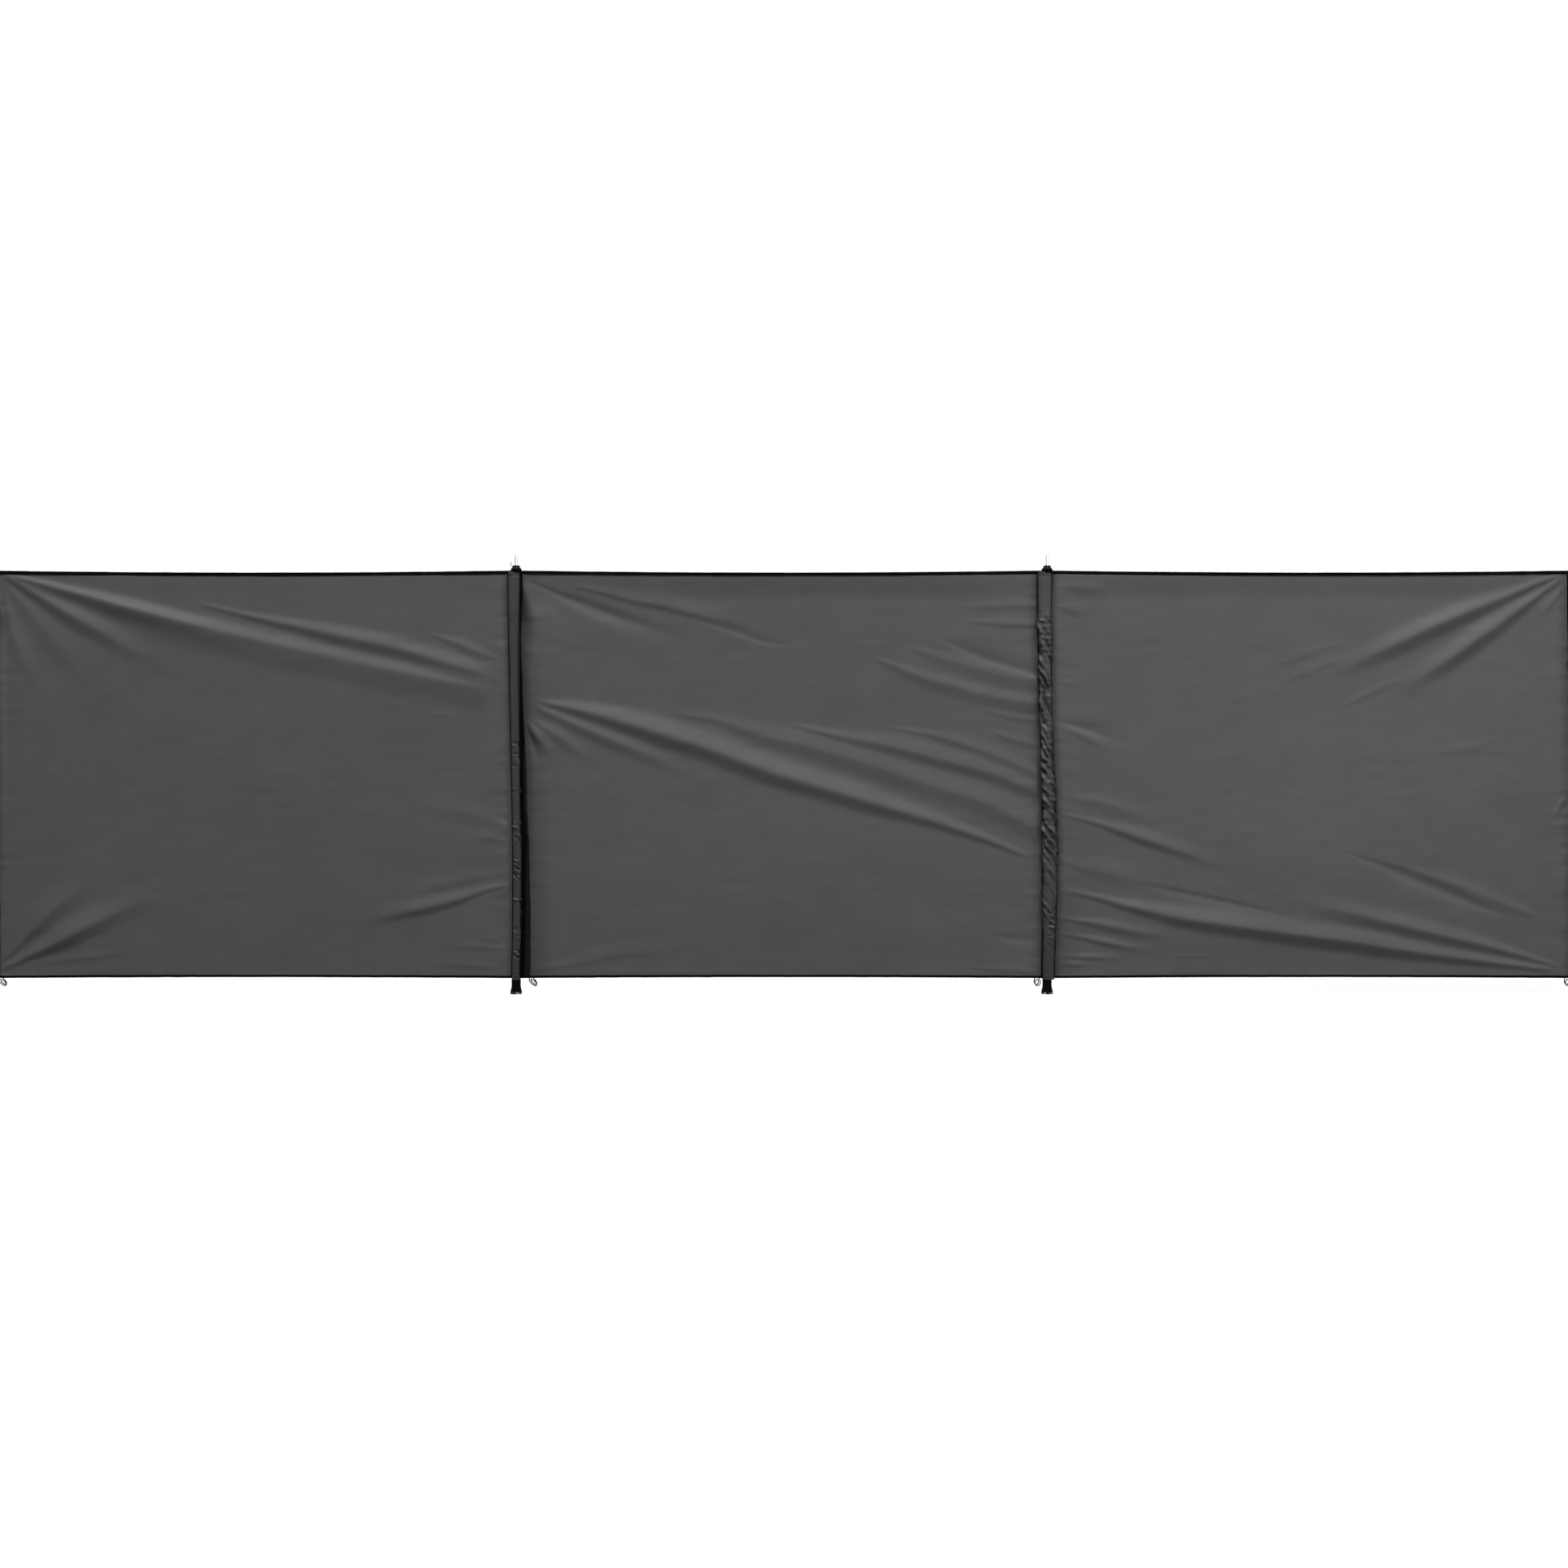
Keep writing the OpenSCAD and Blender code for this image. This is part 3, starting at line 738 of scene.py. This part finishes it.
RIGHT_SHADE = {
    "left_half": (
        (0.05, 0.12, 0.014), (0.60, 0.10, 0.012), (1.05, 0.18, 0.018), (1.13, 0.26, 0.024),
        (1.24, 0.12, 0.020),
    ),
    "right_half": ((0.05, 0.34, 0.038), (0.60, 0.34, 0.040), (1.15, 0.38, 0.034), (1.24, 0.22, 0.030)),
}
# A second, gentler darkening at the left of bays 2 and 3, matched in the same way
FAR_SHADE = {
    2: (
        (0.05, 0.46, 0.090), (0.30, 0.44, 0.090), (0.60, 0.42, 0.080), (0.90, 0.38, 0.070),
        (1.05, 0.20, 0.060), (1.12, 0.0, 0.1), (1.24, 0.3, 0.1),
    ),
    3: ((0.05, 0.32, 0.12), (0.25, 0.25, 0.10), (0.35, 0.0, 0.1), (1.24, 0.0, 0.1)),
}


def sheet_shade(j, across, z):
    """How much the sheet is darkened at each place, from 0 to 1."""
    left_gap = seam_line(j, z, 1)
    right_gap = -seam_line(j + 1, z, -1)
    left_amount, left_reach = at_height(LEFT_SHADE[half_of(j)], z)
    right_amount, right_reach = at_height(RIGHT_SHADE[half_of(j + 1)], z)
    left = left_amount * (1 - smoothstep(0, 1, (across - left_gap) / left_reach))
    right = right_amount * (1 - smoothstep(0, 1, (PITCH - right_gap - across) / right_reach))
    shade = 1 - (1 - left) * (1 - right)
    if j not in FAR_SHADE:
        return shade
    far_amount, far_reach = at_height(FAR_SHADE[j], z)
    far = far_amount * (1 - smoothstep(-0.3, 1, (across - left_gap) / far_reach))
    return 1 - (1 - shade) * (1 - far)


def bay_columns(j):
    """Places across the bay of the sheet's columns, closer together where a bay folds."""
    start, end = SEAM_INSET - TUCK, PITCH - SEAM_INSET + TUCK
    hinge = FOLD_INSET + 0.006
    if j < FIXED_BAY:
        fine = np.arange(PITCH - hinge, end, HINGE_COLUMN_STEP)
        coarse = np.arange(start, PITCH - hinge - COLUMN_STEP / 2, COLUMN_STEP)
        return np.append(coarse, np.append(fine, end))
    if j > FIXED_BAY:
        fine = np.arange(start, hinge, HINGE_COLUMN_STEP)
        coarse = np.arange(hinge + COLUMN_STEP / 2, end, COLUMN_STEP)
        return np.append(fine, np.append(coarse, end))
    return np.append(np.arange(start, end, COLUMN_STEP), end)


def attach_bay(piece, j):
    """The fixed bay goes on its body; the outer bays are only baked in place, beside the strip that the
    model leaves free at their inner sleeve.
    """
    if j == FIXED_BAY:
        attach(piece, bay_body(j))
        return
    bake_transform(piece)


def make_sheet(j):
    columns = bay_columns(j)
    shares = np.linspace(0, 1, int(FABRIC_H / ROW_STEP))
    across, share = np.meshgrid(columns, shares)
    sag, lift = edge_lift(across)
    top, bottom = TOP_Z - 0.001 + sag, BOTTOM_Z + 0.001 + lift
    z = top + (bottom - top) * share
    y = SHEET_Y - sheet_relief(j, across, TOP_Z - z)
    points = np.stack([POLE_X[j] + across, y, z], -1).reshape(-1, 3)
    faces = grid_faces(len(shares), len(columns))[:, ::-1]
    piece = add_mesh(f"cloth_bay_{j}", points, faces, cloth)
    set_shade(piece, sheet_shade(j, across, z))
    attach_bay(piece, j)
    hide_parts(f"panel_{j}")
    return piece


# Half the thickness of the tape folded over a bay's edge
BINDING_HALF = 0.0012


def make_binding(j, upper):
    """Tape folded over one edge of a bay: front face, rounded fold and back face in one strip."""
    width = TOP_HEM_H if upper else BOTTOM_HEM_H
    columns = bay_columns(j)[::2]
    columns = np.append(columns, bay_columns(j)[-1])
    half, wide = BINDING_HALF, BINDING_HALF + 0.0003
    profile = [(-wide, 1.0), (-wide, 0.5), (-half, 0.12), (-half * 0.6, 0.02), (0, 0),
               (half * 0.6, 0.02), (half, 0.12), (wide, 0.5), (wide, 1.0)]
    sag, lift = edge_lift(columns)
    edge = TOP_Z + sag if upper else BOTTOM_Z + lift
    wave = 0.0004 * noise(columns / 0.035, columns * 0 + 3, 60 + j)
    wave += 0.0003 * noise(columns / 0.009, columns * 0, 70 + j)
    down = TOP_Z - edge + (0.5 * width if upper else -0.5 * width)
    lean = -sheet_relief(j, columns, down)
    rows = []
    for y, share in profile:
        drop = share * (width + (wave if share == 1.0 else 0))
        z = edge + (-drop if upper else drop) + (wave * 0.6 if share < 0.5 else 0)
        rows.append(np.stack([POLE_X[j] + columns, SHEET_Y + y + lean, z], -1))
    points = np.stack(rows).reshape(-1, 3)
    faces = grid_faces(len(profile), len(columns))
    name = "top" if upper else "bottom"
    piece = add_mesh(f"{name}_binding_{j}", points, faces if upper else faces[:, ::-1], tape)
    attach_bay(piece, j)
    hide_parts(f"{name}_hem_{j}")
    return piece


for j in BAYS:
    sheet = make_sheet(j)
    bindings = [make_binding(j, upper=True), make_binding(j, upper=False)]

# ---------------------------------------------------------------------------
# Sleeves
# ---------------------------------------------------------------------------

SLEEVE_LENGTH = SLEEVE_HIGH.z - SLEEVE_LOW.z
SLEEVE_R = 0.0128
POLE_CLEARANCE = 0.0125
ARCH_FLATNESS = 0.58
DEEPEST_CREASE = 0.0025
AROUND_FRONT = 36
AROUND_BACK = 8
ROW_Z = 0.0014


def sleeve_outline(left, right):
    """Outlines of the sleeve's front, one for each height, from its left seam over the pole to its right
    seam: a flattened arch."""
    edge_y = SHEET_Y - 0.0022
    angle = np.linspace(math.pi, 0, 200)
    x = np.sign(np.cos(angle)) * np.abs(np.cos(angle)) ** ARCH_FLATNESS
    y = edge_y - (edge_y + SLEEVE_R) * np.sin(angle) ** ARCH_FLATNESS
    half = (right - left).mean() / 2
    length = np.append(0, np.cumsum(np.hypot(half * np.diff(x), np.diff(y))))
    at = np.linspace(0, length[-1], AROUND_FRONT)
    middle, half = (left + right) / 2, (right - left) / 2
    across = middle[:, None] + half[:, None] * np.interp(at, length, x)
    return np.stack([across, np.broadcast_to(np.interp(at, length, y), across.shape)], -1), length[-1]


def crumple_heavy(across, z, seed):
    """Steep slanting folds with sharp facets, as on a sleeve that has twisted on its pole."""
    bend = 0.004 * noise(across / 0.02, z / 0.04, seed)
    slant = across * 0.84 + z * 0.545 + bend
    along = across * 0.545 - z * 0.84
    long_folds = facets(slant / 0.0082, along / 0.026, seed + 1)
    short_folds = facets(z / 0.0085, across / 0.0100, seed + 2)
    low = 1 - smoothstep(0.30, 0.50, z)
    return 0.0016 + (0.0078 - 0.0024 * low) * long_folds + (0.0022 - 0.0014 * low) * short_folds


def crumple_light(across, z, seed, places):
    """Groups of short sharp pinches between smooth stretches."""
    level = z + 0.25 * across + 0.003 * noise(across / 0.010, z / 0.02, seed)
    pinches = facets(level / 0.0080, across / 0.0115, seed + 1)
    window = np.zeros(z.shape)
    for centre, reach in places:
        window = np.maximum(window, np.exp(-((z - centre) / reach) ** 4))
    broken = smoothstep(-0.55, 0.0, noise(across / 0.012, z / 0.010, seed + 3))
    return 0.0060 * window * broken * pinches


# Where the left half's sleeves are pinched, and where the right half's crease low down: (height, reach)
LIGHT_PLACES = (
    (0.733, 0.008), (0.706, 0.003), (0.677, 0.012), (0.598, 0.010), (0.574, 0.004), (0.498, 0.013),
    (0.454, 0.022), (0.380, 0.020), (0.345, 0.012), (0.274, 0.010), (0.238, 0.009), (0.190, 0.010),
    (0.165, 0.016), (0.120, 0.016),
)
HEM_CREASES = ((0.20, 0.05), (0.12, 0.03))
HEM_GROOVES = (0.0495, 0.0605, 1.229)

# Painted shade on each sleeve's cloth, deepening towards its foot: how much darker than its plain colour,
# (height, amount)
SLEEVE_PAINTED_SHADE = {
    "left_half": ((0.04, 0.44), (0.60, 0.38), (1.00, 0.32), (1.24, 0.24)),
    "right_half": ((0.04, 0.52), (0.14, 0.50), (0.30, 0.25), (0.80, 0.12), (1.24, 0.02)),
}


def sleeve_relief(i, across, z):
    relief = 0.0005 * noise(across / 0.02, z / 0.05, 140 + i)
    for groove in HEM_GROOVES:
        relief -= 0.0009 * np.exp(-((z - groove) / 0.0016) ** 2)
    if half_of(i) == "left_half":
        return relief + crumple_light(across, z, 120 + i, LIGHT_PLACES) * smoothstep(-0.016, -0.008, across)
    window = (0.15 + 0.85 * smoothstep(0.12, 0.30, z)) * (1 - smoothstep(1.10, 1.14, z))
    relief += crumple_heavy(across, z, 100 + i) * window * smoothstep(0.075, 0.12, z)
    return relief + 0.8 * crumple_light(across, z, 130 + i, HEM_CREASES) * smoothstep(0, 0.010, across)


def sleeve_shade(i, across, z, relief):
    """Darkening of a sleeve: painted shade in its hem grooves and creases, under the overhangs of its folds
    and along its edges, a mottled darkening at its top hem, and the painted shade that deepens towards its
    foot.
    """
    left, right = at_height(SLEEVE_EDGES[half_of(i)], z)
    dark = 0.7 * np.exp(-((z - HEM_GROOVES[0]) / 0.0018) ** 2)
    dark = np.maximum(dark, 0.3 * np.exp(-((z - HEM_GROOVES[1]) / 0.0014) ** 2))
    dark = np.maximum(dark, 0.5 * (1 - smoothstep(0, 0.003, across - left)))
    # Painted shade in the creases and under the folds' overhangs
    dark = np.maximum(dark, 0.75 * smoothstep(0, 1, (0.0002 - relief) / DEEPEST_CREASE))
    overhang = np.gradient(relief, ROW_Z, axis=0)
    dark = np.maximum(dark, 0.78 * smoothstep(0.10, 0.62, overhang))
    mottle = smoothstep(-0.5, 0.5, noise(across / 0.004, z / 0.0035, 210 + i))
    dark = np.maximum(dark, 0.5 * smoothstep(1.226, 1.231, z) * mottle)
    if half_of(i) == "left_half":
        # Painted shade where the front rounds away to the right, near black past its right edge
        past_edge = across - right - 0.7 * relief
        dark = np.maximum(dark, 0.22 * smoothstep(-0.012, -0.004, past_edge)
                          + 0.76 * smoothstep(-0.004, 0.001, past_edge))
    else:
        dark = np.maximum(dark, 0.4 * smoothstep(-0.003, 0, across - right))
    darkness = at_height(SLEEVE_PAINTED_SHADE[half_of(i)], z)[0]
    return 1 - (1 - dark) * (1 - darkness)


def make_sleeve(i):
    rows = np.linspace(SLEEVE_LOW.z, SLEEVE_HIGH.z, int(SLEEVE_LENGTH / ROW_Z))
    left, right = at_height(SLEEVE_EDGES[half_of(i)], rows)
    right = np.maximum(right, POLE_CLEARANCE)
    outline, girth = sleeve_outline(left, right)
    along = np.gradient(outline, axis=1)
    normal = np.stack([along[..., 1], -along[..., 0]], -1)
    normal /= np.linalg.norm(normal, axis=2)[..., None]
    u, z = np.meshgrid(np.linspace(-1, 1, AROUND_FRONT), rows)
    relief = sleeve_relief(i, u * girth / 2 + (left + right)[:, None] / 2, z)
    relief = np.maximum(relief, -DEEPEST_CREASE) * (1 - 0.8 * smoothstep(0.8, 1.0, np.abs(u)))
    front = np.empty((len(rows), AROUND_FRONT, 3))
    front[..., :2] = outline + normal * relief[..., None]
    front[..., 2] = z
    back = np.empty((len(rows), AROUND_BACK, 3))
    for k, share in enumerate(np.linspace(0, 1, AROUND_BACK)):
        back[:, k, 0] = right + (left - right) * share
        back[:, k, 1] = SHEET_Y + 0.0008 + 0.0006 * noise(back[:, k, 0] / 0.02, rows / 0.03, 150 + i)
        back[:, k, 2] = rows
    points = np.concatenate([front, back], 1)
    shade = np.zeros(points.shape[:2])
    shade[:, :AROUND_FRONT] = sleeve_shade(i, front[..., 0], z, relief)
    points[..., 0] += POLE_X[i]
    faces = grid_faces(len(rows), AROUND_FRONT + AROUND_BACK)
    piece = add_mesh(f"sleeve_cover_{i}", points.reshape(-1, 3), faces, sleeve_cloth)
    set_shade(piece, shade)
    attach(piece, pole_body(i))
    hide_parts(f"sleeve_{i}")


for i in POLES:
    make_sleeve(i)

# ---------------------------------------------------------------------------
# Seam tape and painted seam shadow beside each sleeve, and the cap of tape over each pole's end
# ---------------------------------------------------------------------------


def make_piping_and_seam_shadow(i):
    """Black piping along a sleeve's seams, where no tape covers them; its black line is also painted shadow
    of the seam's crease.
    """
    rows = np.linspace(BOTTOM_Z + 0.006, TOP_Z - 0.006, 160)
    left, right = at_height(SLEEVE_EDGES[half_of(i)], rows)
    y = np.full(len(rows), SHEET_Y - 0.0026)
    lines = [np.stack([POLE_X[i] + left - 0.0008, y, rows], -1)]
    if half_of(i) == "right_half":
        lines.append(np.stack([POLE_X[i] + right + 0.0006, y, rows], -1))
    piece = add_mesh(f"seam_piping_and_shadow_{i}", *joined([tube(line, 0.0016, 6) for line in lines]), tape)
    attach(piece, pole_body(i))


def make_strip(name, i, levels, material, lift):
    """A strip on the cloth beside a sleeve, between the two edges that levels gives: seam tape, the black
    one also painted shadow of the gap there.
    """
    bay = i if half_of(i) == "left_half" else i - 1
    rows = np.arange(levels[0][0], levels[-1][0], 0.004)
    start, end = at_height(levels, rows)
    share, z = np.meshgrid(np.linspace(0, 1, 9), rows)
    wander = 0.0005 * share * noise(z / 0.02, share * 0, 160 + i)
    x = start[:, None] + share * (end - start)[:, None] + wander
    across = x if half_of(i) == "left_half" else PITCH + x
    y = SHEET_Y - sheet_relief(bay, across, TOP_Z - z) - lift
    points = np.stack([POLE_X[i] + x, y, z], -1).reshape(-1, 3)
    piece = add_mesh(f"{name}_{i}", points, grid_faces(len(rows), share.shape[1]), material)
    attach(piece, pole_body(i))
    return piece


def make_seam_tape_and_shadow(i):
    half = half_of(i)
    # The black strip is partly seam tape and partly painted shadow of the gap beside the sleeve
    tape_and_shadow_piece = make_strip("tape_and_gap_shadow_strip", i, TAPE_AND_GAP_SHADOW[half], tape, 0.0016)
    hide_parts(f"seam_tape_{i}")
    if half == "left_half":
        make_strip("tape_edge", i, GREY_TAPE, seam_cloth, 0.0010)


# The tape over a pole's end: (height above the sleeve's top, half width, half depth) in metres
CROWN_LEVELS = (
    (-0.0030, 0.0162, 0.0138), (0.0000, 0.0164, 0.0140), (0.0040, 0.0162, 0.0136), (0.0075, 0.0158, 0.0130),
    (0.0095, 0.0148, 0.0122), (0.0102, 0.0132, 0.0112), (0.0108, 0.0124, 0.0106), (0.0122, 0.0120, 0.0104),
    (0.0145, 0.0112, 0.0102), (0.0162, 0.0102, 0.0098), (0.0170, 0.0094, 0.0092), (0.0171, 0.0080, 0.0080),
)
CROWN_LIP_RISE = 0.0105
AROUND_CROWN = 96


def make_crown(i):
    """Tape gathered over the pole's end in two tiers, with the cloth's edge showing between them."""
    around = np.linspace(0, 2 * math.pi, AROUND_CROWN, endpoint=False)
    rows = []
    for rise, half_x, half_y in CROWN_LEVELS:
        crease = 0.0008 * noise(around * 3.4, around * 0 + rise * 300, 180 + i)
        crease *= smoothstep(0.001, 0.009, rise)
        ragged = 0.0007 * noise(around * 4.5, around * 0 + 5, 190 + i)
        ragged *= smoothstep(0.009, 0.013, rise)
        x = POLE_X[i] + (half_x + crease) * np.cos(around)
        y = (half_y + crease) * np.sin(around)
        rows.append(np.stack([x, y, SLEEVE_HIGH.z + rise + ragged], -1))
    points = np.stack(rows).reshape(-1, 3)
    crown = add_mesh(f"crown_tape_{i}", points, grid_faces(len(rows), AROUND_CROWN, closed=True), tape)
    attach(crown, pole_body(i))
    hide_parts(f"top_cap_{i}")
    # The cloth's edge: most of the way round it is level, and on the right it climbs to the top.
    turn = np.linspace(-math.pi * 1.15, math.pi * 0.15, 60)
    climb = smoothstep(-math.pi * 0.34, 0, turn) * 0.006
    spread = 0.0134 - climb * 0.35
    ragged = 0.0003 * noise(turn * 3, turn * 0, 195 + i)
    lip = np.stack([POLE_X[i] + spread * np.cos(turn), 0.0112 / 0.0134 * spread * np.sin(turn),
                    SLEEVE_HIGH.z + CROWN_LIP_RISE + climb + ragged], -1)
    # Its pale colour is a painted highlight along the cloth's edge
    edge = add_mesh(f"crown_lip_{i}", *tube(lip, 0.0005, 8), edge_cloth_with_highlight)
    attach(edge, pole_body(i))


def make_loose_thread(i):
    """A curled end of thread that stands up beside one crown."""
    base = np.array([POLE_X[i] - 0.0095, -0.0085, SLEEVE_HIGH.z])
    curl = [(0.004, 0, 0.0125), (0.0005, 0.0005, 0.0150), (-0.004, 0, 0.0180), (-0.0062, -0.001, 0.0225),
            (-0.0052, -0.001, 0.0262), (-0.0036, 0, 0.0272)]
    line = smooth_path([base + np.array(p) for p in curl], 6)
    piece = add_mesh(f"loose_thread_{i}", *tube(line, 0.0008, 8), tape)
    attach(piece, pole_body(i))


for i in POLES:
    make_piping_and_seam_shadow(i)
    make_seam_tape_and_shadow(i)
    make_crown(i)
make_loose_thread(2)

# ---------------------------------------------------------------------------
# Stage and light
# ---------------------------------------------------------------------------

FLOOR_HALF = 60
FLOOR_GLOW = 0.88
WORLD_GLOW = 0.10


def area_light(name, place, target, size, power):
    data = bpy.data.lights.new(name, "AREA")
    data.shape = "RECTANGLE"
    data.size, data.size_y = size
    data.energy = power
    light = bpy.data.objects.new(name, data)
    light.location = place
    light.rotation_euler = (Vector(target) - Vector(place)).to_track_quat("-Z", "Y").to_euler()
    bpy.context.scene.collection.objects.link(light)


def background_rays(tree):
    """1 on the rays that see the background: from the camera, and off or through the object."""
    rays = tree.nodes.new("ShaderNodeLightPath").outputs
    off_object = math_node(tree, "MAXIMUM", rays["Is Camera Ray"], rays["Is Glossy Ray"])
    return math_node(tree, "MAXIMUM", off_object, rays["Is Transmission Ray"])


def make_floor():
    material, tree, shader = new_material("studio_floor")
    shader.inputs["Base Color"].default_value = (0.25, 0.25, 0.25, 1)
    shader.inputs["Roughness"].default_value = 0.9
    shader.inputs["Specular IOR Level"].default_value = 0.1
    shader.inputs["Emission Color"].default_value = (1, 1, 1, 1)
    glow = math_node(tree, "MULTIPLY", background_rays(tree), FLOOR_GLOW)
    tree.links.new(glow, shader.inputs["Emission Strength"])
    corners = [(x * FLOOR_HALF, y * FLOOR_HALF, 0) for x, y in ((-1, -1), (1, -1), (1, 1), (-1, 1))]
    add_mesh("floor", corners, [[0, 1, 2, 3]], material)


def make_world():
    world = bpy.data.worlds.new("studio")
    world.use_nodes = True
    tree = world.node_tree
    background = tree.nodes["Background"]
    background.inputs["Color"].default_value = (1, 1, 1, 1)
    level = range_node(tree, background_rays(tree), 0, 1, WORLD_GLOW, 1)
    tree.links.new(level, background.inputs["Strength"])
    bpy.context.scene.world = world


MIDDLE = (POLE_X[2] + PITCH / 2, 0, HINGE_HEIGHT)
make_floor()
make_world()
area_light("key_light", (0.7, -4.5, 8.2), MIDDLE, (7.6, 1.6), 1290)
area_light("side_light", (3.4, -3.0, 1.5), (2.4, 0, 0.45), (1.2, 1.0), 28)
area_light("back_light", (0.2, 4.5, 3.6), MIDDLE, (3.0, 2.0), 140)
bpy.context.scene.view_settings.view_transform = "Standard"
